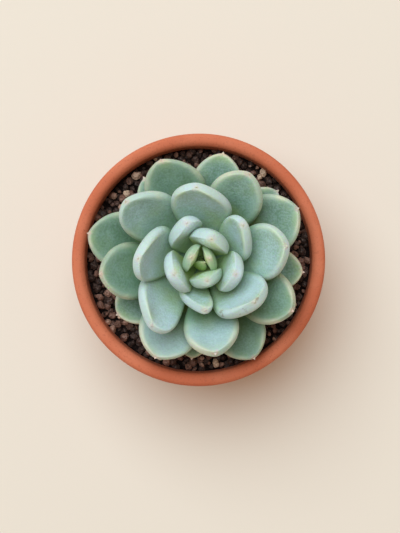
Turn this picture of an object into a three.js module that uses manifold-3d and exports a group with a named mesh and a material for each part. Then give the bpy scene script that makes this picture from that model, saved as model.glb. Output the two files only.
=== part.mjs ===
// A rosette succulent growing in gritty mix in a shallow terracotta pot.
// Millimetres, +Z up. The origin is the centre of the pot's underside.
// Every leaf is its own solid, set round a short stem in the plant's own golden spiral.
import * as THREE from "three";
import Module from "manifold-3d";
import { mergeVertices } from "three/addons/utils/BufferGeometryUtils.js";

const wasm = await Module();
wasm.setup();

// ---------------------------------------------------------------- driving dimensions
const RIM_RADIUS = 60; // outside of the rim, which sets the object's width
const POT_HEIGHT = 60;
const FIT_GAP = 0.3; // left between pieces that touch

const RIM_WALL = 5.7; // thickness of the rim seen from above
const RIM_DEPTH = 15; // height of the thicker band round the mouth
const RIM_STEP = 2.2; // how far the band stands out from the wall below it
const RIM_ROUND = 2.3; // radius of the rim's top edges
const BAND_EASE = 1; // how far the band's lower edge is rounded off
const FOOT_RADIUS = 43;
const FOOT_ROUND = 1.2;
const FLOOR_THICK = 7;
const FLOOR_RADIUS = 37.5; // inside corner where the floor meets the wall
const NECK_RADIUS = 53.4; // inside of the wall at the foot of the band
const DRAIN_RADIUS = 6;
const POT_SIDES = 72;

const SOIL_TOP = 49.5; // mean level of the grit's surface
const GRAIN_STEP = 4.4; // spacing of the grains that make the surface
const GRAIN_RISE = 1.4; // mean height of a grain over the gaps round it
const CROWN_SHAKE = 0.5; // how far grains and gaps stray, as a share of the lattice's spacing
const GAP_SHAKE = 0.36;
const HEIGHT_VARIES = 0.9; // random share of a grain's rise
const SOIL_SIDES = 48;

const PLANT_X = 1.2; // the plant stands slightly off the pot's centre
const PLANT_Y = -1.2;
const STEM_FOOT = 30; // the root crown's lower end
const STEM_TOP = 78;
const STEM_RADIUS_LOW = 5.6; // at the grit's surface
const STEM_RADIUS_HIGH = 1.5; // among the youngest leaves
const STEM_END_ROUND = 1;
const COLLAR_DEPTH = 6; // the stem keeps its low radius this far into the grit
const CROWN_RADIUS = 3.6; // the root crown, below the collar
const CROWN_END_RADIUS = 1.4; // its lower end
const CROWN_END_HEIGHT = 7; // over which it narrows to that end
const STEM_SIDES = 20;

// ---------------------------------------------------------------- leaves
const GOLDEN_TURN = 137.5; // degrees from one leaf to the next older one
const FIRST_TURN = 237; // the youngest leaf's direction, counter-clockwise from +X
const TOP_LEAF_DROP = 1.4; // from the stem's top down to the youngest leaf
const NODE_STEP = 0.66; // distance down the stem between the two youngest leaves
const NODE_STEP_GROWTH = 0.009; // each step down the stem is this much longer than the last
const YOUNGEST_BASE = 0.45; // the youngest leaf's base, as a share of a full one
const FULL_BASE_ORDER = 20; // the first leaf, counted from the youngest, with a full base
const LEAF_BASE_HALF = 3.4;
const LEAF_BASE_UP = 0.9;
const LEAF_BASE_DOWN = 1.7;
const WIDEST_AT = 0.68; // of the blade's length
const CURL_POWER = 1.5; // puts most of a leaf's curl near its tip
const TIP_LENGTH = 1.2; // the small point at the end of each leaf
const TIP_HALF = 0.75;
const CREST_IN = 0.92; // the upper face's edge, as a share of the half width
const YOUNG_CREST_IN = 0.82; // the same on the youngest leaves, whose edges are rounder
const CREST_IN_MOST = 0.97; // where skew takes one crest no nearer to the side
const BLUNTNESS = 0.42; // below 1 keeps a leaf thick to its rounded end
const DROP_POWER = 1.6; // above 1 brings the end's drop to its point close to it
const SWAY_POWER = 4; // puts most of a leaf's sideways bend near its tip
const RISING_STATIONS = [0, 0.22, 0.46, 0.72, 1]; // from the base to the widest place
const CLOSING_ANGLES = [24, 46, 64, 77]; // degrees round the blade's end
const LOWER_ANGLES = [90, 60, 32, 0]; // round the belly, from below up to the side
const HOLLOW_AT = 0.55; // a point on the upper face, as a share of the way out to the crest
const MIDLINE_STEPS = 24;
const BASE_POWER = 1.25; // of the belly's curve: above 1 it thins towards the leaf's edges
const END_POWER = 0.75; // below 1 it stays thick out to them

// Youngest first. lean is the turn away from the spiral, rise the slope at the base, curl how
// much steeper the tip is and twist the roll at the tip, all in degrees. In millimetres, belly is
// the thickness below the leaf's widest line, crest the height of the upper face's edge over it,
// dip the hollow of the upper face, tuck how far the small point sits below the widest line, swell
// the upper face's bulge near the tip and sway the sideways bend at the tip. skew is how much
// further in the crest lies on the clockwise side of the tip, as a share of the half width.
const LEAVES = [
  { name: "bud_leaf_1", lean: 2.4, length: 13.6, width: 6.4, rise: 82, curl: 60,
    belly: 1.25, crest: 0.2, dip: -0.4, tuck: 0.3, sway: 1.5 },
  { name: "bud_leaf_2", lean: 6, length: 17, width: 10.2, rise: 81, curl: 16,
    belly: 3.1, crest: 0.2, dip: -0.4, tuck: 1.6, swell: 0.6 },
  { name: "bud_leaf_3", lean: 2.2, length: 19, width: 13.6, rise: 82, curl: 16,
    belly: 4.3, crest: 0.2, dip: -0.4, tuck: 1.6, swell: 0.8 },
  { name: "inner_leaf_1", lean: -0.6, length: 21.5, width: 15.2, rise: 74.8, curl: 15,
    belly: 6, crest: 0.2, dip: -0.4, tuck: 2.4, swell: 1.05 },
  { name: "inner_leaf_2", lean: -1, length: 24, width: 18.6, rise: 65.5, curl: 25,
    belly: 7.2, crest: 0.3, dip: -0.4, tuck: 2.4, swell: 1.2 },
  { name: "inner_leaf_3", lean: -0.5, length: 26, width: 20, rise: 62, curl: 26,
    belly: 6.7, crest: 0.3, dip: -0.4, tuck: 2.4, swell: 1.2 },
  { name: "inner_leaf_4", lean: -1, length: 27.5, width: 18.8, rise: 54.3, curl: 30,
    belly: 6.6, crest: 0.4, dip: -0.4, tuck: 2.2, swell: 1 },
  { name: "inner_leaf_5", lean: 2, length: 28, width: 17.2, rise: 50, curl: 32,
    belly: 6.6, crest: 0.5, dip: 0, tuck: 2.2, swell: 0.8, skew: -0.1, sway: -4, twist: 8 },
  { name: "inner_leaf_6", lean: -1.4, length: 28, width: 15, rise: 46.3, curl: 22,
    belly: 4.6, crest: 1.4, dip: 0.6, tuck: 1.2, swell: 0.2, skew: -0.08, sway: 7 },
  { name: "inner_leaf_7", lean: -4.5, length: 32.5, width: 20.5, rise: 37, curl: 38,
    belly: 5.2, crest: 1.4, dip: 0.6, tuck: 1.4, swell: 0.3, skew: 0.1, sway: 5, twist: -4 },
  { name: "middle_leaf_1", lean: -3.8, length: 37.4, width: 26.2, rise: 40, curl: 31,
    belly: 5, crest: 2, dip: 1.6, tuck: 1.2, skew: 0.14, sway: 4.6, twist: -8 },
  { name: "middle_leaf_2", lean: 8, length: 39.4, width: 26.2, rise: 37, curl: 30,
    belly: 6, crest: 2, dip: 1.6, tuck: 0.2, skew: 0.14, sway: 3, twist: -12 },
  { name: "middle_leaf_3", lean: 1, length: 41.8, width: 27.6, rise: 35.5, curl: 30,
    belly: 5.6, crest: 2, dip: 1.8, tuck: 1.4, skew: 0.05, sway: 3.4, twist: -6 },
  { name: "middle_leaf_4", lean: -4, length: 40.2, width: 25.8, rise: 30.4, curl: 26,
    belly: 5.4, crest: 2, dip: 1.8, tuck: 1.2, skew: 0.1, sway: 7.2, twist: -8 },
  { name: "middle_leaf_5", lean: 7, length: 43.8, width: 26, rise: 31.2, curl: 20,
    belly: 5.3, crest: 2, dip: 1.8, tuck: 1.2, skew: 0.05, sway: 1 },
  { name: "outer_leaf_1", lean: -3.5, length: 46.6, width: 26, rise: 28.3, curl: 18,
    belly: 5.3, crest: 2, dip: 2, tuck: 1.2, skew: 0.12, sway: 4, twist: -6 },
  { name: "middle_leaf_6", lean: 2, length: 45, width: 25.3, rise: 27.5, curl: 20,
    belly: 5.3, crest: 2, dip: 2, tuck: 1.2 },
  { name: "outer_leaf_2", lean: 7, length: 46.7, width: 25.5, rise: 25, curl: 15,
    belly: 5.3, crest: 2, dip: 2, tuck: 1.2, skew: 0.04 },
  { name: "outer_leaf_3", lean: -5, length: 46.2, width: 26.5, rise: 23, curl: 14,
    belly: 5.2, crest: 2, dip: 2, tuck: 1.2 },
  { name: "outer_leaf_4", lean: 2.5, length: 47, width: 25.5, rise: 21, curl: 14,
    belly: 5.1, crest: 2, dip: 2, tuck: 0.8 },
  { name: "outer_leaf_5", lean: 2, length: 48.5, width: 28, rise: 19, curl: 12,
    belly: 5.1, crest: 1.6, dip: 2, tuck: 1.4, sway: 3 },
  { name: "outer_leaf_6", lean: -1, length: 46.3, width: 28, rise: 17, curl: 12,
    belly: 5, crest: 1.6, dip: 2, tuck: 1.4 },
  { name: "outer_leaf_7", lean: 6, length: 48.3, width: 28.5, rise: 15, curl: 12,
    belly: 5, crest: 1.6, dip: 2, tuck: 1.4 },
  { name: "outer_leaf_8", lean: 5, length: 50.4, width: 27, rise: 13, curl: 12,
    belly: 4.8, crest: 1.6, dip: 1.8, tuck: 1.4, sway: 2 },
  { name: "outer_leaf_9", lean: 2, length: 47, width: 25, rise: 11, curl: 10,
    belly: 4.6, crest: 1.6, dip: 1.8, tuck: 1.4 },
  { name: "outer_leaf_10", lean: 4, length: 47.4, width: 24, rise: 9, curl: 10,
    belly: 4.4, crest: 1.6, dip: 1.6, tuck: 1.4 },
  { name: "lowest_leaf_1", lean: 0, length: 41.5, width: 23, rise: 8, curl: 8,
    belly: 4.2, crest: 1.2, dip: 1.4, tuck: 1 },
  { name: "lowest_leaf_2", lean: 5, length: 43.2, width: 21, rise: 7, curl: 8,
    belly: 4, crest: 1.2, dip: 1.4, tuck: 1 },
  { name: "lowest_leaf_3", lean: -3, length: 42.8, width: 20, rise: 6, curl: 8,
    belly: 4, crest: 1.2, dip: 1.2, tuck: 1 },
  { name: "lowest_leaf_4", lean: 0, length: 40.2, width: 18, rise: 5, curl: 8,
    belly: 3.8, crest: 1.2, dip: 1.2, tuck: 1 },
  { name: "lowest_leaf_5", lean: 1, length: 44, width: 20, rise: 4, curl: 8,
    belly: 3.8, crest: 1.2, dip: 1.2, tuck: 1 },
];

const radians = THREE.MathUtils.degToRad;
const ease = (q) => q * q * (3 - 2 * q);
const blend = (from, to, share) => from + (to - from) * share;

function stemRadius(z) {
  const share = THREE.MathUtils.clamp((z - SOIL_TOP) / (STEM_TOP - SOIL_TOP), 0, 1);
  return blend(STEM_RADIUS_LOW, STEM_RADIUS_HIGH, share);
}

// Height at which leaf number order, counted from the youngest, joins the stem.
function nodeHeight(order) {
  const steps = order * NODE_STEP + (NODE_STEP_GROWTH * order * (order - 1)) / 2;
  return STEM_TOP - TOP_LEAF_DROP - steps;
}

// The midline's point and slope, a share of the way along the leaf.
function midlineAt(leaf, start, share) {
  const point = { reach: start.reach, height: start.height };
  const slopeAt = (s) => radians(leaf.rise + leaf.curl * Math.pow(s, CURL_POWER));
  const stride = (leaf.length * share) / MIDLINE_STEPS;
  for (let i = 0; i < MIDLINE_STEPS; i++) {
    const slope = slopeAt((share * (i + 0.5)) / MIDLINE_STEPS);
    point.reach += Math.cos(slope) * stride;
    point.height += Math.sin(slope) * stride;
  }
  return { ...point, slope: slopeAt(share) };
}

// Half width, belly, crest and dip at each cross-section, with how far along the leaf it is.
function leafSections(leaf) {
  const sections = [];
  const half = leaf.width / 2;
  for (const station of RISING_STATIONS) {
    const grown = ease(station);
    sections.push({
      share: WIDEST_AT * station,
      half: blend(LEAF_BASE_HALF * leaf.baseScale, half, grown),
      down: blend(LEAF_BASE_DOWN * leaf.baseScale, leaf.belly, grown * station),
      up: blend(LEAF_BASE_UP * leaf.baseScale, leaf.crest, grown),
      dip: leaf.dip * grown,
      drop: 0,
      power: blend(BASE_POWER, END_POWER, grown),
      crestIn: blend(CREST_IN, leaf.crestIn, grown),
      skew: 0,
    });
  }
  for (const angle of CLOSING_ANGLES) {
    const left = Math.cos(radians(angle));
    const thick = Math.pow(left, BLUNTNESS);
    sections.push({
      share: blend(WIDEST_AT, 1, Math.sin(radians(angle))),
      half: half * left,
      down: leaf.belly * thick,
      up: leaf.crest * thick,
      dip: leaf.dip * left - leaf.swell * Math.sin(2 * radians(angle)),
      drop: leaf.tuck * Math.pow(1 - left, DROP_POWER),
      power: END_POWER,
      crestIn: leaf.crestIn,
      skew: leaf.skew * Math.sin(radians(angle)),
    });
  }
  sections.push({
    share: 1,
    half: TIP_HALF,
    down: TIP_HALF,
    up: TIP_HALF / 2,
    dip: 0,
    drop: leaf.tuck,
    power: END_POWER,
    crestIn: leaf.crestIn,
    skew: 0,
  });
  return sections;
}

// One closed cross-section, counter-clockwise seen from the tip: y across the leaf, z up from it.
function sectionOutline(section) {
  const belly = LOWER_ANGLES.map((angle) => {
    const fall = Math.pow(Math.sin(radians(angle)), section.power);
    return [section.half * Math.cos(radians(angle)), -section.down * fall];
  });
  const left = section.half * Math.min(CREST_IN_MOST, section.crestIn + section.skew);
  const right = -section.half * Math.min(CREST_IN_MOST, section.crestIn - section.skew);
  const face = [1, HOLLOW_AT, 0, -HOLLOW_AT, -1].map((way) => [
    blend(right, left, (way + 1) / 2),
    section.up - section.dip * (1 - way * way),
  ]);
  const mirrored = belly.slice(1).reverse().map(([y, z]) => [-y, z]);
  return [...belly, ...face, ...mirrored].map(([y, z]) => [y, z - section.drop]);
}

function leafMesh(leaf, order, material) {
  const baseScale = blend(YOUNGEST_BASE, 1, Math.min(1, order / FULL_BASE_ORDER));
  const crestIn = blend(YOUNG_CREST_IN, CREST_IN, order / (LEAVES.length - 1));
  leaf = { twist: 0, sway: 0, swell: 0, skew: 0, baseScale, crestIn, ...leaf };
  const height = nodeHeight(order);
  const rise = radians(leaf.rise);
  const start = {
    height,
    reach: stemRadius(height) + FIT_GAP + LEAF_BASE_UP * leaf.baseScale * Math.sin(rise),
  };
  const positions = [];
  const rings = leafSections(leaf).map((section) => {
    const at = midlineAt(leaf, start, section.share);
    const roll = radians(leaf.twist) * section.share;
    const across = leaf.sway * Math.pow(section.share, SWAY_POWER);
    return sectionOutline(section).map(([y, z]) => {
      const turnedY = y * Math.cos(roll) - z * Math.sin(roll);
      const turnedZ = y * Math.sin(roll) + z * Math.cos(roll);
      positions.push(
        at.reach - turnedZ * Math.sin(at.slope),
        across + turnedY,
        at.height + turnedZ * Math.cos(at.slope),
      );
      return positions.length / 3 - 1;
    });
  });
  const end = midlineAt(leaf, start, 1);
  const roll = radians(leaf.twist);
  const below = leaf.tuck * Math.cos(roll);
  positions.push(
    end.reach + TIP_LENGTH * Math.cos(end.slope) + below * Math.sin(end.slope),
    leaf.sway + leaf.tuck * Math.sin(roll),
    end.height + TIP_LENGTH * Math.sin(end.slope) - below * Math.cos(end.slope),
  );
  const point = positions.length / 3 - 1;

  const faces = [];
  const count = rings[0].length;
  for (let r = 0; r < rings.length - 1; r++) {
    for (let i = 0; i < count; i++) {
      const [a, b] = [rings[r][i], rings[r][(i + 1) % count]];
      const [c, d] = [rings[r + 1][i], rings[r + 1][(i + 1) % count]];
      faces.push(a, b, d, a, d, c);
    }
  }
  for (let i = 0; i < count; i++) {
    faces.push(rings.at(-1)[i], rings.at(-1)[(i + 1) % count], point);
    if (i > 0 && i < count - 1) faces.push(rings[0][0], rings[0][i + 1], rings[0][i]);
  }
  const geometry = new THREE.BufferGeometry();
  geometry.setAttribute("position", new THREE.Float32BufferAttribute(positions, 3));
  geometry.setIndex(faces);
  geometry.computeVertexNormals();

  const mesh = new THREE.Mesh(geometry, material);
  mesh.name = leaf.name;
  mesh.rotation.z = radians(FIRST_TURN + GOLDEN_TURN * order + leaf.lean);
  return mesh;
}

// ---------------------------------------------------------------- lathe and boolean helpers
function arc(points, centreX, centreZ, radius, from, to, steps) {
  for (let i = 0; i <= steps; i++) {
    const angle = radians(blend(from, to, i / steps));
    points.push(new THREE.Vector2(centreX + radius * Math.cos(angle), centreZ + radius * Math.sin(angle)));
  }
}

// Turns a closed outline of radius and height about the Z axis.
function turned(outline, sides) {
  const geometry = new THREE.LatheGeometry([...outline, outline[0]], sides);
  geometry.rotateX(Math.PI / 2);
  return geometry;
}

function toSolid(geometry) {
  const bare = geometry.clone();
  bare.deleteAttribute("normal");
  bare.deleteAttribute("uv");
  const merged = mergeVertices(bare, 1e-4);
  return new wasm.Manifold(
    new wasm.Mesh({
      numProp: 3,
      vertProperties: merged.attributes.position.array,
      triVerts: new Uint32Array(merged.index.array),
    }),
  );
}

function toGeometry(solid) {
  const made = solid.getMesh();
  const geometry = new THREE.BufferGeometry();
  geometry.setAttribute("position", new THREE.BufferAttribute(made.vertProperties, 3));
  geometry.setIndex(new THREE.BufferAttribute(made.triVerts, 1));
  geometry.computeVertexNormals();
  return geometry;
}

// ---------------------------------------------------------------- pot
// Inside radius of the wall: a taper up to the band, then nearly upright to the mouth.
function innerRadius(z) {
  const neck = POT_HEIGHT - RIM_DEPTH;
  if (z < neck) return blend(FLOOR_RADIUS, NECK_RADIUS, (z - FLOOR_THICK) / (neck - FLOOR_THICK));
  return blend(NECK_RADIUS, RIM_RADIUS - RIM_WALL, (z - neck) / RIM_DEPTH);
}

function potGeometry() {
  const outline = [];
  const mouth = RIM_RADIUS - RIM_WALL;
  outline.push(new THREE.Vector2(DRAIN_RADIUS, 0));
  arc(outline, FOOT_RADIUS - FOOT_ROUND, FOOT_ROUND, FOOT_ROUND, -90, -10, 2);
  const step = POT_HEIGHT - RIM_DEPTH;
  outline.push(new THREE.Vector2(RIM_RADIUS - RIM_STEP, step));
  outline.push(new THREE.Vector2(RIM_RADIUS - BAND_EASE, step + BAND_EASE / 2));
  outline.push(new THREE.Vector2(RIM_RADIUS, step + 2 * BAND_EASE));
  arc(outline, RIM_RADIUS - RIM_ROUND, POT_HEIGHT - RIM_ROUND, RIM_ROUND, 0, 90, 4);
  arc(outline, mouth + RIM_ROUND, POT_HEIGHT - RIM_ROUND, RIM_ROUND, 90, 180, 4);
  outline.push(new THREE.Vector2(NECK_RADIUS, step));
  outline.push(new THREE.Vector2(FLOOR_RADIUS, FLOOR_THICK));
  outline.push(new THREE.Vector2(DRAIN_RADIUS, FLOOR_THICK));
  return turned(outline, POT_SIDES);
}

// ---------------------------------------------------------------- grit
const COLUMN_STRIDE = 17; // keep the draws of neighbouring grains apart
const ROW_STRIDE = 59;
const DRAW_TURN = 127.1; // radians from one draw to the next
const DRAW_SCALE = 43758.5; // large, so that only the last digits of the sine are used

// A repeatable draw from 0 to 1.
function draw(seed) {
  const value = Math.sin(seed * DRAW_TURN) * DRAW_SCALE;
  return value - Math.floor(value);
}

// A slab whose top is a close lattice of grains. On a triangular lattice every third vertex is
// a grain's crown and the two between are the gaps round it.
function grainSlab() {
  const step = GRAIN_STEP / Math.sqrt(3);
  const rowStep = step * Math.sin(Math.PI / 3);
  const rows = 2 * Math.ceil(RIM_RADIUS / rowStep);
  const columns = 2 * Math.ceil(RIM_RADIUS / step + rows / 4); // a quarter more for the slant
  const slab = new THREE.BoxGeometry(columns, rows, 1, columns, rows, 1);
  const at = slab.attributes.position;
  for (let i = 0; i < at.count; i++) {
    const [column, row, top] = [Math.round(at.getX(i)), Math.round(at.getY(i)), at.getZ(i) > 0];
    const crown = (((column + row) % 3) + 3) % 3 === 0;
    const seed = column * COLUMN_STRIDE + row * ROW_STRIDE;
    const shake = step * (crown ? CROWN_SHAKE : GAP_SHAKE);
    const lift = HEIGHT_VARIES * draw(seed + 3) + (crown ? 1 - HEIGHT_VARIES : -HEIGHT_VARIES);
    at.setXYZ(
      i,
      step * (column - row / 2) + shake * (draw(seed) - 0.5),
      rowStep * row + shake * (draw(seed + 7) - 0.5),
      top ? SOIL_TOP + GRAIN_RISE * lift : 0,
    );
  }
  return slab;
}

function gritGeometry() {
  const low = FLOOR_THICK + FIT_GAP;
  const high = POT_HEIGHT;
  const filling = turned(
    [
      new THREE.Vector2(0, low),
      new THREE.Vector2(innerRadius(low) - FIT_GAP, low),
      new THREE.Vector2(NECK_RADIUS - FIT_GAP, POT_HEIGHT - RIM_DEPTH),
      new THREE.Vector2(innerRadius(high) - FIT_GAP, high),
      new THREE.Vector2(0, high),
    ],
    SOIL_SIDES,
  );
  return toGeometry(
    toSolid(filling)
      .intersect(toSolid(grainSlab()))
      .subtract(toSolid(stemGeometry(FIT_GAP).translate(PLANT_X, PLANT_Y, 0))),
  );
}

// ---------------------------------------------------------------- stem
// The stem with its root crown. A swollen copy makes the hole that it stands in.
function stemGeometry(swell = 0) {
  const outline = [
    new THREE.Vector2(0, STEM_FOOT - swell),
    new THREE.Vector2(CROWN_END_RADIUS + swell, STEM_FOOT - swell),
    new THREE.Vector2(CROWN_RADIUS + swell, STEM_FOOT + CROWN_END_HEIGHT),
    new THREE.Vector2(STEM_RADIUS_LOW + swell, SOIL_TOP - COLLAR_DEPTH),
    new THREE.Vector2(STEM_RADIUS_LOW + swell, SOIL_TOP),
    new THREE.Vector2(STEM_RADIUS_HIGH + swell, STEM_TOP - STEM_END_ROUND),
    new THREE.Vector2(STEM_RADIUS_HIGH / 2 + swell, STEM_TOP),
    new THREE.Vector2(0, STEM_TOP + swell),
  ];
  return turned(outline, STEM_SIDES);
}

// ---------------------------------------------------------------- assembly
const terracotta = new THREE.MeshStandardMaterial({ color: 0xc8704c, roughness: 0.85, metalness: 0 });
const grit = new THREE.MeshStandardMaterial({ color: 0x3b2a22, roughness: 0.95, metalness: 0 });
const leafSkin = new THREE.MeshStandardMaterial({ color: 0x9cbfa8, roughness: 0.6, metalness: 0 });
const stemSkin = new THREE.MeshStandardMaterial({ color: 0x8a8f5c, roughness: 0.8, metalness: 0 });

function piece(name, geometry, material) {
  const mesh = new THREE.Mesh(geometry, material);
  mesh.name = name;
  return mesh;
}

const plant = new THREE.Group();
plant.position.set(PLANT_X, PLANT_Y, 0);
plant.add(piece("stem", stemGeometry(), stemSkin));
LEAVES.forEach((leaf, order) => plant.add(leafMesh(leaf, order, leafSkin)));

const pottedSucculent = new THREE.Group();
pottedSucculent.add(piece("pot", potGeometry(), terracotta));
pottedSucculent.add(piece("grit", gritGeometry(), grit));
pottedSucculent.add(plant);

export default pottedSucculent;
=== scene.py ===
"""A rosette succulent in a shallow terracotta pot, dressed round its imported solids."""
import math

import bpy
import numpy as np
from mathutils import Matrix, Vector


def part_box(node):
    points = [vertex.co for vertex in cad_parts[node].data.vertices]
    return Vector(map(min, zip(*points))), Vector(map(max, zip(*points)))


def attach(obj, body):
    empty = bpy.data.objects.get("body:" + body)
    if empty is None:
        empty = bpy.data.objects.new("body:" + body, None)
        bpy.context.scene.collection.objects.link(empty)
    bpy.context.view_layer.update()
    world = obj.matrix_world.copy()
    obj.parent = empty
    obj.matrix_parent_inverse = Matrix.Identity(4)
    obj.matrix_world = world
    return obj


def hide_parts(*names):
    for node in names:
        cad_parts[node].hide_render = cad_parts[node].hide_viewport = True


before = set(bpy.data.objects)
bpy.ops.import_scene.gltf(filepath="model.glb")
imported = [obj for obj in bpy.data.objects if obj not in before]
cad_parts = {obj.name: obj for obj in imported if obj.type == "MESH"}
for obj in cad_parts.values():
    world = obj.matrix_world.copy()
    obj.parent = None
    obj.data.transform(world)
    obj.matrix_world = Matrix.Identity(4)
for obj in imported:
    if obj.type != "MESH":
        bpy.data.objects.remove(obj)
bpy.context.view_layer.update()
MM = 0.001

# ---------------------------------------------------------------- camera
# The photograph looks straight down on the pot from about 65 cm, through a portrait lens.
CAMERA_PLACE = (0.75 * MM, -3.16 * MM, 653 * MM)
LENS = 85
SENSOR = 36

camera = bpy.data.objects.new("camera", bpy.data.cameras.new("camera"))
camera.data.lens = LENS
camera.data.sensor_width = SENSOR
camera.data.clip_start = 0.01
camera.location = CAMERA_PLACE
bpy.context.scene.collection.objects.link(camera)
bpy.context.scene.camera = camera
bpy.context.scene.view_settings.view_transform = "Standard"


# ---------------------------------------------------------------- floor and light
# A plain sheet of warm cream paper, lit by one big soft lamp high at the upper left and by
# the pale room round it.
FLOOR_SIDE = 6.0  # this and the lamp's sizes are in metres
FLOOR_DROP = 0.3 * MM
PAPER_MOTTLE = 180 * MM
PAPER_LIGHT = (0.835, 0.747, 0.62)
PAPER_DARK = (0.825, 0.737, 0.612)
LAMP_TURN = 120  # degrees counter-clockwise from +X
LAMP_RISE = 63  # degrees above the floor
LAMP_DISTANCE = 3.6
LAMP_RADIUS = 1.8
LAMP_POWER = 135
LAMP_COLOUR = (0.86, 1.0, 1.13)
ROOM_COLOUR = (1.0, 0.76, 0.56)
ROOM_STRENGTH = 0.37


class Wire:
    """One output of a node. Sums written on it add Math nodes."""

    def __init__(self, nodes, socket):
        self.nodes = nodes
        self.socket = socket

    def math(self, operation, *values):
        return self.nodes.add("ShaderNodeMath", {"operation": operation}, dict(enumerate(values)))

    def __add__(self, other):
        return self.math("ADD", self, other)

    def __radd__(self, other):
        return self.math("ADD", other, self)

    def __sub__(self, other):
        return self.math("SUBTRACT", self, other)

    def __rsub__(self, other):
        return self.math("SUBTRACT", other, self)

    def __mul__(self, other):
        return self.math("MULTIPLY", self, other)

    def __rmul__(self, other):
        return self.math("MULTIPLY", other, self)

    def __pow__(self, other):
        return self.math("POWER", self, other)


class Nodes:
    """A node tree, of a material or of Geometry Nodes, that grows by one node a call."""

    def __init__(self, tree):
        self.tree = tree

    def add(self, kind, settings=None, inputs=None, output=0):
        node = self.tree.nodes.new(kind)
        for name, value in (settings or {}).items():
            setattr(node, name, value)
        for key, value in (inputs or {}).items():
            socket = node.inputs[key]
            if isinstance(value, Wire):
                self.tree.links.new(value.socket, socket)
            elif socket.type == "RGBA" and len(value) == 3:
                socket.default_value = (*value, 1.0)
            else:
                socket.default_value = value
        return Wire(self, node.outputs[output])


class Finish(Nodes):
    """A material whose patterns are laid out in object coordinates."""

    def __init__(self, name, **shader):
        self.material = bpy.data.materials.new(name)
        self.material.use_nodes = True
        super().__init__(self.material.node_tree)
        self.surface = self.tree.nodes["Principled BSDF"]
        for key, value in shader.items():
            self.surface.inputs[key.replace("_", " ")].default_value = value
        self.place = self.add("ShaderNodeTexCoord", output="Object")

    def axis(self, letter):
        return self.add("ShaderNodeSeparateXYZ", inputs={0: self.place}, output=letter)

    def attribute(self, name):
        return self.add("ShaderNodeAttribute", {"attribute_name": name}, output="Fac")

    def noise(self, size, detail=2.0, rough=0.5):
        """Noise from 0 to 1 whose spots are about size metres across."""
        inputs = {"Vector": self.place, "Scale": 1 / size, "Detail": detail, "Roughness": rough}
        return self.add("ShaderNodeTexNoise", inputs=inputs)

    def between(self, low, high, value):
        """0 below low, 1 above high and smooth between, or the other way round."""
        inputs = {"Value": value, "From Min": low, "From Max": high}
        return self.add("ShaderNodeMapRange", {"interpolation_type": "SMOOTHSTEP"}, inputs)

    def mix(self, mask, below, above):
        """One colour laid over another, as thick as the mask says."""
        inputs = {0: mask, 6: below, 7: above}
        return self.add("ShaderNodeMix", {"data_type": "RGBA"}, inputs, output=2)

    def set(self, name, value):
        """Links a value that changes over the surface to one socket of the shader."""
        self.tree.links.new(value.socket, self.surface.inputs[name])

    def bump(self, height, distance):
        """Raises the surface by distance metres where height is 1."""
        inputs = {"Height": height, "Distance": distance}
        self.set("Normal", self.add("ShaderNodeBump", inputs=inputs))


def made_mesh(name, points, faces, material):
    """A smooth-shaded object at the origin, from points in metres and faces that turn outwards."""
    mesh = bpy.data.meshes.new(name)
    mesh.from_pydata([tuple(p) for p in points], [], faces)
    mesh.materials.append(material)
    mesh.shade_smooth()
    piece = bpy.data.objects.new(name, mesh)
    bpy.context.scene.collection.objects.link(piece)
    return piece


paper = Finish("cream_paper", Roughness=0.9)
paper.set("Base Color", paper.mix(paper.noise(PAPER_MOTTLE), PAPER_DARK, PAPER_LIGHT))
near, far = -FLOOR_SIDE / 2, FLOOR_SIDE / 2
corners = [(near, near), (far, near), (far, far), (near, far)]
floor = made_mesh("floor", [(x, y, -FLOOR_DROP) for x, y in corners], [(0, 1, 2, 3)], paper.material)

lamp = bpy.data.objects.new("lamp", bpy.data.lights.new("lamp", "AREA"))
lamp.data.shape = "DISK"
lamp.data.size = 2 * LAMP_RADIUS
lamp.data.energy = LAMP_POWER
lamp.data.color = LAMP_COLOUR
lamp_turn, lamp_rise = math.radians(LAMP_TURN), math.radians(LAMP_RISE)
lamp.location = (
    LAMP_DISTANCE * math.cos(lamp_rise) * math.cos(lamp_turn),
    LAMP_DISTANCE * math.cos(lamp_rise) * math.sin(lamp_turn),
    LAMP_DISTANCE * math.sin(lamp_rise),
)
lamp.rotation_euler = (0, math.pi / 2 - lamp_rise, lamp_turn)
bpy.context.scene.collection.objects.link(lamp)

room = bpy.data.worlds.new("room")
room.use_nodes = True
room.node_tree.nodes["Background"].inputs["Color"].default_value = (*ROOM_COLOUR, 1)
room.node_tree.nodes["Background"].inputs["Strength"].default_value = ROOM_STRENGTH
bpy.context.scene.world = room


# ---------------------------------------------------------------- pot
# A terracotta pot thrown and fired unglazed, with a thick band round the mouth, a rounded
# rim and a drain hole. Rim and foot were wiped smooth with a wet sponge.
RIM_WALL = 6.2  # this and all sizes below are in millimetres
RIM_DEPTH = 15
RIM_STEP = 2.2
RIM_ROUND = 2.3
MOUTH_ROUND = 3.3
BAND_ROUND = 1.1
NECK_RADIUS = 53.4
FOOT_RADIUS = 43
FOOT_ROUND = 1.2
FLOOR_THICK = 7
FLOOR_RADIUS = 37.5
FLOOR_ROUND = 2
DRAIN_RADIUS = 6
DRAIN_ROUND = 0.8
POT_SIDES = 240
WALL_UNEVEN = 0.12
SALT_TOP = 30
SALT_FULL = 4
# Where the inner wall of the mouth is painted paler, as painted light over the shade inside the rim.
MOUTH_LIGHT_TOP = 57.5
MOUTH_LIGHT_FULL = 52
MOUTH_LIGHT_RADIUS = 55.2
MOUTH_LIGHT_FULL_RADIUS = 54.4
CLAY = (0.58, 0.138, 0.056)
CLAY_PALE = (0.65, 0.182, 0.083)
CLAY_DARK = (0.40, 0.095, 0.042)
CLAY_SALT = (0.66, 0.40, 0.29)
# The even, slightly paler tone painted inside the mouth: painted light.
CLAY_PAINTED_LIGHT = (0.58, 0.165, 0.075)

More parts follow.
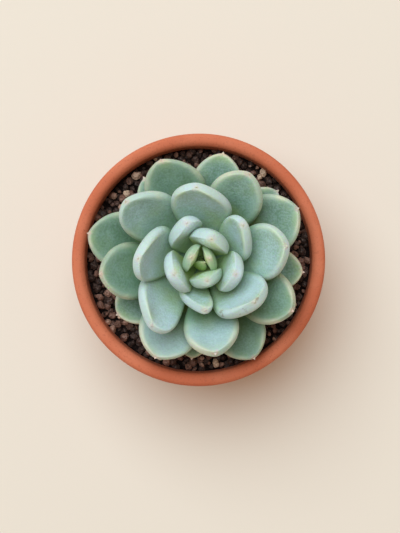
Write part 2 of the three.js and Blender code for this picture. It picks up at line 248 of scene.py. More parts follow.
# The two waves of the wall together reach one and a half times WALL_UNEVEN.
rim_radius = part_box("pot")[1].x / MM - 1.5 * WALL_UNEVEN
pot_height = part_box("pot")[1].z / MM


def arc(centre_x, centre_z, radius, start, end, steps):
    """Points of an arc, in millimetres, from start to end degrees."""
    angles = np.radians(np.linspace(start, end, steps + 1))
    return [(centre_x + radius * math.cos(a), centre_z + radius * math.sin(a)) for a in angles]


def run(start, end, steps):
    """Points on a straight line, without its last one."""
    start, end = np.array(start), np.array(end)
    return [tuple(start + (end - start) * i / steps) for i in range(steps)]


def ring_faces(rings, sides, closed=False, flipped=False):
    """Faces that join each ring of points to the next one, and the last to the first if closed."""
    faces = []
    for ring in range(rings if closed else rings - 1):
        low, high = ring * sides, (ring + 1) % rings * sides
        for i in range(sides):
            j = (i + 1) % sides
            face = (low + i, low + j, high + j, high + i)
            faces.append((face[0], face[3], face[2], face[1]) if flipped else face)
    return faces


def turned(outline, sides, closed, centre=(0, 0), uneven=0.0):
    """Turns an outline of radius and height. An open one has its two ends on the axis.

    Uneven makes it slightly oval and five-sided, as work from the wheel is."""
    radii, heights = np.array(outline).T
    angles = np.linspace(0, 2 * math.pi, sides, endpoint=False)
    wobble = uneven * np.sin(2 * angles + 0.7) + uneven * 0.5 * np.sin(5 * angles + 2.1)
    off_axis = slice(None) if closed else slice(1, -1)
    points = []
    for radius, height in zip(radii[off_axis], heights[off_axis]):
        reach = radius + wobble
        x = centre[0] + reach * np.cos(angles)
        y = centre[1] + reach * np.sin(angles)
        points += list(zip(x * MM, y * MM, np.full(sides, height * MM)))
    rings = len(points) // sides
    faces = ring_faces(rings, sides, closed)
    if not closed:
        bottom, top = len(points), len(points) + 1
        points += [(centre[0] * MM, centre[1] * MM, heights[k] * MM) for k in (0, -1)]
        last = (rings - 1) * sides
        faces += [(bottom, (i + 1) % sides, i) for i in range(sides)]
        faces += [(top, last + i, last + (i + 1) % sides) for i in range(sides)]
    return points, faces


neck = pot_height - RIM_DEPTH
mouth = rim_radius - RIM_WALL
lip = rim_radius - RIM_STEP
drain_edge = arc(DRAIN_RADIUS + DRAIN_ROUND, DRAIN_ROUND, DRAIN_ROUND, 180, 270, 4)
underside = run((2 * DRAIN_RADIUS, 0), (FOOT_RADIUS - FOOT_ROUND - 1, 0), 4)
foot_edge = arc(FOOT_RADIUS - FOOT_ROUND, FOOT_ROUND, FOOT_ROUND, -90, -14, 6)
outer_wall = run((FOOT_RADIUS + 0.5, 3), (lip - 0.4, neck - 1.5), 16)
hollow_under_band = [(lip - 0.1, neck - 0.5), (lip + 0.35, neck), (lip + 1.1, neck + 0.25)]
band_edge = arc(rim_radius - BAND_ROUND, neck + BAND_ROUND + 0.5, BAND_ROUND, -70, 0, 4)
band = run((rim_radius, neck + 3), (rim_radius, pot_height - RIM_ROUND), 5)
rim_outside = arc(rim_radius - RIM_ROUND, pot_height - RIM_ROUND, RIM_ROUND, 0, 90, 10)
rim_inside = arc(mouth + MOUTH_ROUND, pot_height - MOUTH_ROUND, MOUTH_ROUND, 90, 180, 12)
mouth_wall = run((mouth - 0.1, pot_height - MOUTH_ROUND - 1), (NECK_RADIUS, neck), 6)
inner_wall = run((NECK_RADIUS, neck), (FLOOR_RADIUS + 0.8, FLOOR_THICK + 1.4), 10)
floor_edge = arc(FLOOR_RADIUS - 1.4, FLOOR_THICK + FLOOR_ROUND, FLOOR_ROUND, -25, -90, 4)
drain_top = arc(DRAIN_RADIUS + DRAIN_ROUND, FLOOR_THICK - DRAIN_ROUND, DRAIN_ROUND, 90, 180, 4)
pot_outline = drain_edge + underside + foot_edge + outer_wall + hollow_under_band + band_edge + band
pot_outline += rim_outside + rim_inside + mouth_wall + inner_wall + floor_edge + drain_top

clay = Finish("fired_terracotta", Roughness=0.8)
height_up = clay.axis("Z")
blotch = clay.between(0.35, 0.68, clay.noise(26 * MM, 3))
flecks = clay.between(0.56, 0.70, clay.noise(0.9 * MM, 2))
pits = clay.between(0.62, 0.74, clay.noise(1.6 * MM, 1))
near_foot = clay.between(SALT_TOP * MM, SALT_FULL * MM, height_up)
salt = clay.between(0.50, 0.72, clay.noise(9 * MM, 5, 0.6)) * near_foot
pot_x, pot_y = clay.axis("X"), clay.axis("Y")
from_axis = (pot_x * pot_x + pot_y * pot_y) ** 0.5
# Inside the mouth, from under the rim to the grit, the wall is painted one even tone a little paler
# than the clay: painted light over the shade that falls inside the rim.
in_mouth = clay.between(MOUTH_LIGHT_RADIUS * MM, MOUTH_LIGHT_FULL_RADIUS * MM, from_axis)
mouth_light_height = height_up + clay.noise(7 * MM, 3) * 3 * MM
painted_mouth_light = in_mouth * clay.between(MOUTH_LIGHT_TOP * MM, MOUTH_LIGHT_FULL * MM, mouth_light_height)
colour = clay.mix(blotch, CLAY, CLAY_PALE)
colour = clay.mix(flecks * 0.45, colour, CLAY_DARK)
colour = clay.mix(salt * 0.55, colour, CLAY_SALT)
colour = clay.mix(painted_mouth_light * 0.85, colour, CLAY_PAINTED_LIGHT)
clay.set("Base Color", colour)
clay.set("Roughness", 0.72 + 0.16 * clay.noise(4 * MM, 3))
wheel_marks = clay.add(
    "ShaderNodeTexWave",
    {"bands_direction": "Z"},
    {"Vector": clay.place, "Scale": 160.0, "Distortion": 1.2, "Detail": 2.0, "Detail Scale": 0.6},
    output="Fac",
)
grain = clay.noise(0.7 * MM, 4, 0.6)
clay.bump(grain * 0.55 + wheel_marks * 0.25 - pits * 0.6 + blotch * 0.6, 0.14 * MM)

pot_points, pot_faces = turned(pot_outline, POT_SIDES, True, uneven=WALL_UNEVEN)
pot = made_mesh("terracotta_pot", pot_points, pot_faces, clay.material)
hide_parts("pot")
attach(pot, "root")


# ---------------------------------------------------------------- grit
# The growing mix: lava, pumice and baked clay, 2 to 5 mm across, in dark fines. It is
# filled to a finger's width under the rim and pressed round the stem.
GRAIN_RISE = 1.4
BED_DROP = 1.7
BED_UNEVEN = 0.9
LONG_HILLS = 19
MIDDLE_HILLS = 6.5
SHORT_HILLS = 3.1
BED_RINGS = 44
BED_SIDES = 180
BED_SPREAD = 0.3
HOLE_GAP = 0.3
GRAIN_SPACING = 3.1
GRAIN_SMALL = 0.8
GRAIN_LARGE = 2.4
GRAIN_KINDS = 5
GRAIN_LUMPS = 1.5
GRAIN_DENSITY = 900000.0  # a square metre, before the spacing thins them
# Of each layer: how far it lies above the bed, how far it keeps from the wall in shares of the
# largest grain, its palest tone and its seed. The lower layer has a darker palest tone: painted
# shade on its grains, which lie between the upper ones.
GRAIN_LAYERS = ((1.2, 0.45, 1.0, 11), (-0.2, 0.3, 0.72, 23))
FINES = (0.010, 0.006, 0.005)
FINES_PALE = (0.035, 0.020, 0.015)
GRAIN_DARK = (0.038, 0.019, 0.013)
GRAIN_BROWN = (0.26, 0.125, 0.083)
GRAIN_PINK = (0.52, 0.30, 0.21)
GRAIN_TAN = (0.80, 0.56, 0.38)

stem_low, stem_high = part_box("stem")
plant_x = (stem_low.x + stem_high.x) / 2 / MM
plant_y = (stem_low.y + stem_high.y) / 2 / MM
stem_radius = (stem_high.x - stem_low.x) / 2 / MM
bed_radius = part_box("grit")[1].x / MM + BED_SPREAD
bed_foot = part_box("grit")[0].z / MM
soil_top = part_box("grit")[1].z / MM - GRAIN_RISE


def hills(x, y, size):
    """Smooth unevenness from -1 to 1, of three waves about size millimetres long, out of step."""
    turns = 2 * math.pi / size
    first = np.sin(x * turns + 0.4 * np.sin(y * turns * 0.7))
    second = np.sin(y * turns * 1.13 + 1.7 + 0.5 * np.sin(x * turns * 0.61))
    third = np.sin((x + y) * turns * 0.47 + 0.9)
    return (first + second + third) / 3


def bed_top():
    """Rings of points from the stem's hole out to the pot's wall, with their heights."""
    angles = np.linspace(0, 2 * math.pi, BED_SIDES, endpoint=False)
    toward = np.stack([np.cos(angles), np.sin(angles)], 1)
    offset = toward @ np.array([plant_x, plant_y])
    reach = -offset + np.sqrt(offset**2 + bed_radius**2 - plant_x**2 - plant_y**2)
    hole = stem_radius + HOLE_GAP
    rings = []
    for share in np.linspace(0, 1, BED_RINGS + 1):
        radius = hole + (reach - hole) * share
        x, y = plant_x + toward[:, 0] * radius, plant_y + toward[:, 1] * radius
        rise = 0.55 * hills(x, y, LONG_HILLS) + 0.3 * hills(y, x, MIDDLE_HILLS)
        rise = rise + 0.15 * hills(x, y, SHORT_HILLS)
        rings.append(np.stack([x, y, soil_top - BED_DROP + BED_UNEVEN * rise], 1))
    return rings


def grit_bed(material):
    """The filling as one closed body: its top, its outside, its underside and the stem's hole."""
    rings = bed_top()
    rim = rings[-1]
    wall = rim.copy()
    wall[:, 2] = neck
    wall[:, :2] *= (NECK_RADIUS - HOLE_GAP) / bed_radius
    foot = rim.copy()
    foot[:, 2] = bed_foot
    foot[:, :2] *= (FLOOR_RADIUS - HOLE_GAP) / bed_radius
    well = rings[0].copy()
    well[:, 2] = stem_low.z / MM
    rings = [well] + rings + [wall, foot]
    faces = ring_faces(len(rings), BED_SIDES, flipped=True)
    last = (len(rings) - 1) * BED_SIDES
    faces.append(tuple(range(BED_SIDES)))
    faces.append(tuple(last + i for i in reversed(range(BED_SIDES))))
    return made_mesh("grit_bed", np.concatenate(rings) * MM, faces, material)


fines = Finish("dark_fines", Roughness=0.95, Specular_IOR_Level=0.1)
pale_specks = fines.between(0.5, 0.75, fines.noise(1.3 * MM, 3))
fines.set("Base Color", fines.mix(pale_specks, FINES, FINES_PALE))
fines.bump(fines.noise(1.1 * MM, 4, 0.6), 0.7 * MM)
bed = grit_bed(fines.material)
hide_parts("grit")
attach(bed, "root")

stones = Finish("lava_and_pumice", Roughness=0.55, Specular_IOR_Level=0.5)
tone = stones.attribute("tone")
colour = stones.mix(stones.between(0.34, 0.80, tone), GRAIN_DARK, GRAIN_BROWN)
colour = stones.mix(stones.between(0.76, 0.88, tone), colour, GRAIN_PINK)
colour = stones.mix(stones.between(0.88, 0.95, tone), colour, GRAIN_TAN)
dust = stones.between(0.45, 0.75, stones.noise(0.8 * MM, 3))
colour = stones.mix(dust * 0.2, colour, GRAIN_PINK)
holes = stones.between(0.58, 0.72, stones.noise(0.55 * MM, 2))
colour = stones.mix(holes * 0.6, colour, FINES)
stones.set("Base Color", colour)
stones.bump(stones.noise(0.9 * MM, 3) - holes, 0.5 * MM)


def grain_tree(material):
    """Geometry Nodes that scatter lumpy grains over a surface, turned and sized at random."""
    tree = bpy.data.node_groups.new("scattered_grains", "GeometryNodeTree")
    tree.interface.new_socket("Geometry", in_out="INPUT", socket_type="NodeSocketGeometry")
    for name in ("Spacing", "Small", "Large", "Palest"):
        tree.interface.new_socket(name, in_out="INPUT", socket_type="NodeSocketFloat")
    tree.interface.new_socket("Seed", in_out="INPUT", socket_type="NodeSocketInt")
    tree.interface.new_socket("Geometry", in_out="OUTPUT", socket_type="NodeSocketGeometry")
    nodes = Nodes(tree)
    entry = tree.nodes.new("NodeGroupInput")
    given = {socket.name: Wire(nodes, socket) for socket in entry.outputs if socket.name}

    ball = nodes.add("GeometryNodeMeshIcoSphere", inputs={"Radius": 1.0, "Subdivisions": 2})
    kinds = tree.nodes.new("GeometryNodeGeometryToInstance")
    for kind in range(GRAIN_KINDS):
        lumps = nodes.add(
            "ShaderNodeTexNoise",
            {"noise_dimensions": "4D"},
            {"W": 3.7 * kind, "Scale": 0.9, "Detail": 1.0},
            output="Color",
        )
        middle = {0: lumps, 1: (0.5, 0.5, 0.5)}
        centred = nodes.add("ShaderNodeVectorMath", {"operation": "SUBTRACT"}, middle)
        push = {0: centred, "Scale": GRAIN_LUMPS}
        pushed = nodes.add("ShaderNodeVectorMath", {"operation": "SCALE"}, push)
        shape = nodes.add("GeometryNodeSetPosition", inputs={"Geometry": ball, "Offset": pushed})
        tree.links.new(shape.socket, kinds.inputs[0])
    several = Wire(nodes, kinds.outputs[0])

    points = nodes.add(
        "GeometryNodeDistributePointsOnFaces",
        {"distribute_method": "POISSON"},
        {
            "Mesh": given["Geometry"],
            "Distance Min": given["Spacing"],
            "Density Max": GRAIN_DENSITY,
            "Seed": given["Seed"],
        },
    )
    spin = nodes.add(
        "FunctionNodeRandomValue",
        {"data_type": "FLOAT_VECTOR"},
        {"Max": (math.tau, math.tau, math.tau), "Seed": given["Seed"]},
    )
    size = nodes.add(
        "FunctionNodeRandomValue",
        {"data_type": "FLOAT"},
        {2: given["Small"], 3: given["Large"], "Seed": given["Seed"]},
        output=1,
    )
    squat = nodes.add(
        "FunctionNodeRandomValue",
        {"data_type": "FLOAT_VECTOR"},
        {"Min": (0.85, 0.75, 0.65), "Max": (1.15, 1.0, 0.9), "Seed": given["Seed"] + 5},
    )
    scale = nodes.add("ShaderNodeVectorMath", {"operation": "SCALE"}, {0: squat, "Scale": size})
    placed = {"Points": points, "Instance": several, "Pick Instance": True}
    grains = nodes.add("GeometryNodeInstanceOnPoints", {}, {**placed, "Rotation": spin, "Scale": scale})
    tone = nodes.add(
        "FunctionNodeRandomValue",
        {"data_type": "FLOAT"},
        {3: given["Palest"], "Seed": given["Seed"] + 9},
        output=1,
    )
    toned = nodes.add(
        "GeometryNodeStoreNamedAttribute",
        {"data_type": "FLOAT", "domain": "INSTANCE"},
        {"Geometry": grains, "Name": "tone", "Value": tone},
    )
    real = nodes.add("GeometryNodeRealizeInstances", inputs={"Geometry": toned})
    angular = nodes.add("GeometryNodeSetShadeSmooth", inputs={"Geometry": real, "Shade Smooth": False})
    dressed = nodes.add("GeometryNodeSetMaterial", inputs={"Geometry": angular, "Material": material})
    result = tree.nodes.new("NodeGroupOutput")
    tree.links.new(dressed.socket, result.inputs[0])
    return tree


def grain_layer(name, tree, lift, reach_in, palest, seed):
    """One layer of grains over the bed, kept off the wall and the stem, as a plain mesh."""
    limit = bed_radius - reach_in * GRAIN_LARGE
    rings = []
    for ring in bed_top()[1:]:
        shrink = np.minimum(1, limit / np.hypot(ring[:, 0], ring[:, 1]))
        rings.append(np.stack([ring[:, 0] * shrink, ring[:, 1] * shrink, ring[:, 2] + lift], 1))
    cells = ring_faces(len(rings), BED_SIDES, flipped=True)
    sheet = made_mesh(name + "_sheet", np.concatenate(rings) * MM, cells, stones.material)
    scatter = sheet.modifiers.new("grains", "NODES")
    scatter.node_group = tree
    values = {
        "Spacing": GRAIN_SPACING * MM,
        "Small": GRAIN_SMALL * MM,
        "Large": GRAIN_LARGE * MM,
        "Palest": palest,
        "Seed": seed,
    }
    for item in tree.interface.items_tree:
        if item.in_out == "INPUT" and item.name in values:
            scatter[item.identifier] = values[item.name]
    evaluated = sheet.evaluated_get(bpy.context.evaluated_depsgraph_get())
    plain = bpy.data.meshes.new_from_object(evaluated)
    sheet.modifiers.remove(scatter)
    bpy.data.objects.remove(sheet)
    layer = bpy.data.objects.new(name, plain)
    bpy.context.scene.collection.objects.link(layer)
    return layer


scattered = grain_tree(stones.material)
for number, (lift, reach_in, palest, seed) in enumerate(GRAIN_LAYERS, 1):
    grains = grain_layer(f"grit_grains_{number}", scattered, lift, reach_in, palest, seed)
    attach(grains, "root")


# ---------------------------------------------------------------- stem
# The short fleshy stem that carries the rosette, ringed by the seats of its leaves. Its
# root crown stands in the grit.
STEM_RADIUS_HIGH = 1.5
STEM_SIDES = 40
COLLAR_DEPTH = 6
ROOT_RADIUS = 3.6
ROOT_END_RADIUS = 1.4
ROOT_LENGTH = 7
SEATS = 20
SEAT_RISE = 0.22
SEAT_STEPS = 56
SEATS_END = 0.98
BROWN_TOP = 62
BROWN_FULL = 52
STEM_GREEN = (0.34, 0.46, 0.14)
STEM_BROWN = (0.20, 0.13, 0.075)

stem_foot = stem_low.z / MM
stem_top = stem_high.z / MM
collar = soil_top - COLLAR_DEPTH
stem_outline = [(0, stem_foot), (ROOT_END_RADIUS, stem_foot), (ROOT_RADIUS, stem_foot + ROOT_LENGTH)]
stem_outline += run((stem_radius, collar), (stem_radius, soil_top), 3)
for share in np.linspace(0, SEATS_END, SEAT_STEPS):
    seat = SEAT_RISE * (0.5 - 0.5 * math.cos(share * SEATS * math.tau))
    radius = stem_radius + (STEM_RADIUS_HIGH - stem_radius) * share
    stem_outline.append((radius - seat, soil_top + (stem_top - soil_top) * share))
stem_outline += [(STEM_RADIUS_HIGH / 2, stem_top - 0.2), (0, stem_top)]

bark = Finish("stem_skin", Roughness=0.7)
brown_height = bark.axis("Z") + bark.noise(3 * MM) * 4 * MM
low_down = bark.between(BROWN_TOP * MM, BROWN_FULL * MM, brown_height)
bark.set("Base Color", bark.mix(low_down, STEM_GREEN, STEM_BROWN))
bark.bump(bark.noise(1.2 * MM, 3), 0.3 * MM)
stem_points, stem_faces = turned(stem_outline, STEM_SIDES, False, (plant_x, plant_y))
stem = made_mesh("stem_with_root_crown", stem_points, stem_faces, bark.material)
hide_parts("stem")
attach(stem, "root")


# ---------------------------------------------------------------- leaves
# Fleshy leaves in a golden spiral, youngest first. Each has a full belly, a faintly hollow
# upper face inside a raised edge, and a small hard point. A pale wax bloom covers the skin.
GOLDEN_TURN = 137.5
FIRST_TURN = 237
TOP_LEAF_DROP = 1.4
NODE_STEP = 0.66
NODE_STEP_GROWTH = 0.009
YOUNGEST_BASE = 0.45
FULL_BASE_ORDER = 20
LEAF_BASE_HALF = 3.4
LEAF_BASE_UP = 0.9
LEAF_BASE_DOWN = 1.7
LEAF_GAP = 0.3
WIDEST_AT = 0.68
CURL_POWER = 1.5
SWAY_POWER = 4
DROP_POWER = 1.6
BLUNTNESS = 0.42
BASE_POWER = 1.25
END_POWER = 0.75
CREST_IN = 0.89
YOUNG_CREST_IN = 0.82
CREST_IN_MOST = 0.97
TIP_LENGTH = 1.2
YOUNG_TIP_LENGTH = 0.4
TIP_HALF = 0.75
TIP_FLARE = 1.6
EDGE_POWER = 1.05  # of the edge's curve: 1 is round and 2 is a straight bevel
MARGIN_WAVE = 0.22
WAVE_TURN = 9
WAVE_SHIFT = 2.4
WAVE_FULL_HALF = 6
OLD_CREST_SOFT = 1.8
RIPE_AGE = 0.28  # ages run from 0, the youngest leaf, to 1, the oldest
RIPE_SPAN = 0.22
FACE_HOLLOW = 0.72
HEART_SHARP = 1.7  # how pointed a leaf ends: 1 is round
HEART_LEAVES = 2
OLD_SHARP = 1.15
SHARP_AGE = 0.4
SHARP_SPAN = 0.35
MIDLINE_STEPS = 400
RISING_STEPS = 22
CLOSING_STEPS = 22
CLOSING_CROWDED = 1.5
TIP_STEPS = 4
BELLY_STEPS = 12
BELLY_CROWDED = 1.4
EDGE_STEPS = 5
FACE_STEPS = 18
SCARRED_LEAVES = ("middle_leaf_2", "outer_leaf_4")
# Leaves with a thicker bloom: partly their own, partly painted light on leaves that lie in shade.
THICK_BLOOM_AND_PAINTED_LIGHT = (
    "inner_leaf_5", "middle_leaf_1", "middle_leaf_2", "middle_leaf_4", "middle_leaf_6", "outer_leaf_6",
)
# Leaves with a thinner bloom: partly their own, partly painted shade on leaves shadowed by others.
THIN_BLOOM_AND_PAINTED_SHADE = (
    "bud_leaf_1", "outer_leaf_3", "outer_leaf_4", "outer_leaf_5", "outer_leaf_8", "outer_leaf_9",
)

# In degrees: lean off the spiral, rise of the inner end, curl up towards the point, twist about
# the midline. In millimetres: length, width, depth of the belly, height of the crest, dip of the
# face, how far the end tucks down, how far the face swells near it, sideways sway of the end. Skew
# is a share of the half width.
FIELDS = ("name", "lean", "length", "width", "rise", "curl", "belly", "crest", "dip")
FIELDS += ("tuck", "swell", "skew", "sway", "twist")
LEAVES = [
    ("bud_leaf_1", 2.4, 13.6, 6.4, 82, 60, 1.25, 0.2, -0.4, 0.3, 0, 0, 1.5, 0),
    ("bud_leaf_2", 8, 17, 12.4, 81, 24, 3.6, 0.2, -0.4, 1.6, 0.6, 0, 0, 0),
    ("bud_leaf_3", 2.2, 19, 13.6, 82, 16, 4.3, 0.2, -0.4, 1.6, 0.8, 0, 0, 0),
    ("inner_leaf_1", -0.6, 21.5, 15.2, 74.8, 15, 6, 0.2, -0.4, 2.4, 1.05, 0, 0, 0),
    ("inner_leaf_2", -1, 24, 18.6, 65.5, 25, 7.2, 0.3, -0.4, 2.4, 1.2, 0, 0, 0),
    ("inner_leaf_3", -0.5, 26, 20, 62, 26, 6.7, 0.3, -0.4, 2.4, 1.2, 0, 0, 0),
    ("inner_leaf_4", -1, 27.5, 18.8, 54.3, 30, 6.6, 0.4, -0.4, 2.2, 1, 0, 0, 0),
    ("inner_leaf_5", 2, 28, 17.2, 50, 32, 6.6, 0.5, 0, 2.2, 0.8, -0.1, -4, 8),
    ("inner_leaf_6", -1.4, 28, 15, 46.3, 22, 4.6, 1.4, 0.6, 1.2, 0.2, -0.08, 7, 0),
    ("inner_leaf_7", -4.5, 32.5, 20.5, 37, 38, 5.2, 1.4, 0.6, 1.4, 0.3, 0.1, 5, -4),
    ("middle_leaf_1", -4.7, 37.8, 26.2, 40, 31, 5, 2, 1.6, 1.2, 0, 0.14, 4.6, -8),
    ("middle_leaf_2", 8, 39.4, 26.2, 37, 30, 6, 2, 1.6, 0.2, 0, 0.14, 3, -12),
    ("middle_leaf_3", 1, 41.8, 27.6, 35.5, 30, 5.6, 2, 1.8, 1.4, 0, 0.05, 3.4, -6),
    ("middle_leaf_4", -4, 40.2, 25.8, 30.4, 26, 5.4, 2, 1.8, 1.2, 0, 0.1, 7.2, -8),
    ("middle_leaf_5", 7, 43.8, 26, 31.2, 20, 5.3, 2, 1.8, 1.2, 0, 0.05, 1, 0),
    ("outer_leaf_1", -3.5, 46.6, 26, 28.3, 18, 5.3, 2, 2, 1.2, 0, 0.12, 4, -6),
    ("middle_leaf_6", 2, 45, 25.3, 27.5, 20, 5.3, 2, 2, 1.2, 0, 0, 0, 0),
    ("outer_leaf_2", 7, 46.7, 25.5, 25, 15, 5.3, 2, 2, 1.2, 0, 0.04, 0, 0),
    ("outer_leaf_3", -5, 46.2, 26.5, 23, 14, 5.2, 2, 2, 1.2, 0, 0, 0, 0),
    ("outer_leaf_4", 2.5, 47, 25.5, 21, 14, 5.1, 2, 2, 0.8, 0, 0, 0, 0),
    ("outer_leaf_5", 1.1, 48.5, 28, 19, 12, 5.1, 1.6, 2, 1.4, 0, 0, 3, 0),
    ("outer_leaf_6", -0.1, 46.3, 28, 17, 12, 5, 1.6, 2, 1.4, 0, 0, 0, 0),
    ("outer_leaf_7", 7, 48.3, 28.5, 15, 12, 5, 1.6, 2, 1.4, 0, 0, 0, 0),
    ("outer_leaf_8", 4, 50.4, 27, 13, 12, 4.8, 1.6, 1.8, 1.4, 0, 0, 2, 0),
    ("outer_leaf_9", 2, 47, 25, 11, 10, 4.6, 1.6, 1.8, 1.4, 0, 0, 0, 0),
    ("outer_leaf_10", 4, 47.4, 24, 9, 10, 4.4, 1.6, 1.6, 1.4, 0, 0, 0, 0),
    ("lowest_leaf_1", 0, 41.5, 23, 8, 8, 4.2, 1.2, 1.4, 1, 0, 0, 0, 0),
    ("lowest_leaf_2", 5, 43.2, 21, 7, 8, 4, 1.2, 1.4, 1, 0, 0, 0, 0),
    ("lowest_leaf_3", -3, 42.8, 20, 6, 8, 4, 1.2, 1.2, 1, 0, 0, 0, 0),
    ("lowest_leaf_4", 0, 40.2, 18, 5, 8, 3.8, 1.2, 1.2, 1, 0, 0, 0, 0),
    ("lowest_leaf_5", 1, 44, 20, 4, 8, 3.8, 1.2, 1.2, 1, 0, 0, 0, 0),
]


def ease(share):
    """A share from 0 to 1 that starts and ends softly."""
    return share * share * (3 - 2 * share)


def blend(start, end, share):
    return start + (end - start) * share


def ramp(value, start, span):
    """0 up to start, 1 from start + span on and straight between."""
    return min(1, max(0, (value - start) / span))


def rounded_max(first, second):
    """The larger of two profiles, with the corner between them filled in."""
    return (first**4 + second**4) ** 0.25


def leaf_profile(leaf, base, crest_in, tip_length, sharp):
    """What each cross-section measures, from the leaf's base to the end of its point."""
    station = np.linspace(0, 1, RISING_STEPS + 1)
    grown = ease(station)
    rising = {
        "share": WIDEST_AT * station,
        "half": blend(LEAF_BASE_HALF * base, leaf["width"] / 2, grown),
        "down": blend(LEAF_BASE_DOWN * base, leaf["belly"], grown * station),
        "up": blend(LEAF_BASE_UP * base, leaf["crest"], grown),
        "dip": leaf["dip"] * FACE_HOLLOW * grown,
        "drop": 0 * grown,
        "power": blend(BASE_POWER, END_POWER, grown),
        "inward": blend(CREST_IN, crest_in, grown),
        "skew": 0 * grown,
    }
    closed = 1 - (1 - np.linspace(0, 1, CLOSING_STEPS + 1)[1:]) ** CLOSING_CROWDED
    angle = closed * math.pi / 2
    left = np.maximum(np.cos(angle), 0)
    thick = left**BLUNTNESS
    share = blend(WIDEST_AT, 1, np.sin(angle))
    cone = TIP_HALF * np.maximum(0, 1 - (1 - share) * leaf["length"] / TIP_FLARE)
    closing = {
        "share": share,
        "half": rounded_max(left**sharp * leaf["width"] / 2, cone),
        "down": rounded_max(thick * leaf["belly"], cone),
        "up": rounded_max(thick * leaf["crest"], cone / 2),
        "dip": leaf["dip"] * FACE_HOLLOW * left - leaf["swell"] * np.sin(2 * angle),
        "drop": leaf["tuck"] * (1 - left) ** DROP_POWER,
        "power": END_POWER + 0 * left,
        "inward": crest_in + 0 * left,
        "skew": leaf["skew"] * np.sin(angle),
    }
    beyond = np.linspace(0, 1, TIP_STEPS + 1)[1:-1]
    cone = TIP_HALF * (1 - beyond)
    point = {
        "share": 1 + beyond * tip_length / leaf["length"],
        "half": cone,
        "down": cone,
        "up": cone / 2,
        "dip": 0 * cone,
        "drop": leaf["tuck"] + 0 * cone,
        "power": END_POWER + 0 * cone,
        "inward": crest_in + 0 * cone,
        "skew": leaf["skew"] * (1 - beyond),
    }
    return {key: np.concatenate([rising[key], closing[key], point[key]]) for key in rising}


def leaf_outline(soft, half, down, up, dip, power, inward, skew):
    """One cross-section, from the belly's middle over the left edge and the face and back."""
    low = (np.linspace(1, 0, BELLY_STEPS + 1) ** BELLY_CROWDED)[:-1] * math.pi / 2
    edge = np.linspace(0, math.pi / 2, EDGE_STEPS + 1)[:-1]
    way = np.linspace(1, -1, FACE_STEPS + 1)
    belly_z = -down * np.sin(low) ** power
    edge_z = up * np.sin(edge) ** EDGE_POWER
    crests = [half * min(CREST_IN_MOST, inward + side * skew) for side in (1, -1)]
    edges = [crest + (half - crest) * np.cos(edge) ** EDGE_POWER for crest in crests]
    face = blend(-crests[1], crests[0], (way + 1) / 2)
    y = [half * np.cos(low), edges[0], face, -edges[1][::-1], -half * np.cos(low)[:0:-1]]
    z = [belly_z, edge_z, up - dip * (1 - way**2) ** soft, edge_z[::-1], belly_z[:0:-1]]
    return np.concatenate(y), np.concatenate(z)


def leaf_midline(leaf, reach, height, share):
    """The midline's reach, height and slope at each share, in a straight line past the end."""
    fine = np.linspace(0, 1, MIDLINE_STEPS + 1)
    slopes = np.radians(leaf["rise"] + leaf["curl"] * fine**CURL_POWER)
    middle = (slopes[1:] + slopes[:-1]) / 2
    stride = leaf["length"] / MIDLINE_STEPS
    out = reach + np.concatenate([[0], np.cumsum(np.cos(middle))]) * stride
    rise = height + np.concatenate([[0], np.cumsum(np.sin(middle))]) * stride
    slope = np.interp(share, fine, slopes)
    past = np.maximum(0, share - 1) * leaf["length"]
    x = np.interp(share, fine, out) + past * np.cos(slope)
    z = np.interp(share, fine, rise) + past * np.sin(slope)
    return x, z, slope


def leaf_rings(leaf, order):
    """The leaf's cross-sections, pointing out along +X, and how far along it each one lies."""
    base = blend(YOUNGEST_BASE, 1, min(1, order / FULL_BASE_ORDER))
    age = order / (len(LEAVES) - 1)
    crest_in = blend(YOUNG_CREST_IN, CREST_IN, age)
    ripe = ramp(age, RIPE_AGE, RIPE_SPAN)
    soft = blend(1, OLD_CREST_SOFT, ripe)
    tip_length = blend(YOUNG_TIP_LENGTH, TIP_LENGTH, ripe)
    heart_sharp = blend(HEART_SHARP, 1, min(1, order / HEART_LEAVES))
    sharp = heart_sharp * blend(1, OLD_SHARP, ramp(age, SHARP_AGE, SHARP_SPAN))
    height = stem_top - TOP_LEAF_DROP - order * NODE_STEP - NODE_STEP_GROWTH * order * (order - 1) / 2
    seat = blend(stem_radius, STEM_RADIUS_HIGH, ramp(height, soil_top, stem_top - soil_top))
    reach = seat + LEAF_GAP + LEAF_BASE_UP * base * math.sin(math.radians(leaf["rise"]))
    profile = leaf_profile(leaf, base, crest_in, tip_length, sharp)
    shares = profile.pop("share")
    drops = profile.pop("drop")
    mid_x, mid_z, slope = leaf_midline(leaf, reach, height, shares)
    rings = []
    for k, share in enumerate(shares):
        y, z = leaf_outline(soft, **{key: values[k] for key, values in profile.items()})
        sideways = y / profile["half"][k]
        grown = ease(min(1, share / WIDEST_AT)) * min(1, profile["half"][k] / WAVE_FULL_HALF)
        wave = MARGIN_WAVE * math.sin(WAVE_TURN * share + WAVE_SHIFT * order) * grown
        z = z - drops[k] + wave * sideways * np.abs(sideways)
        roll = math.radians(leaf["twist"]) * min(1, share)
        sway = leaf["sway"] * min(1, share) ** SWAY_POWER
        across = sway + y * math.cos(roll) - z * math.sin(roll)
        lift = y * math.sin(roll) + z * math.cos(roll)
        x = mid_x[k] - lift * math.sin(slope[k])
        rings.append(np.stack([x, across, mid_z[k] + lift * math.cos(slope[k])], 1))
    return rings, shares


def leaf_apex(rings):
    """The end of the small point, a step on from the last cross-section's middle."""
    return rings[-1].mean(0) + (rings[-1].mean(0) - rings[-2].mean(0))


def distance_to_line(points, line):
    """Each point's distance from a line of joined straight steps."""
    nearest = np.full(len(points), np.inf)
    for start, end in zip(line[:-1], line[1:]):
        step = end - start
        share = np.clip((points - start) @ step / max(step @ step, 1e-12), 0, 1)
        gap = np.linalg.norm(points - start - share[:, None] * step, axis=1)
        nearest = np.minimum(nearest, gap)
    return nearest


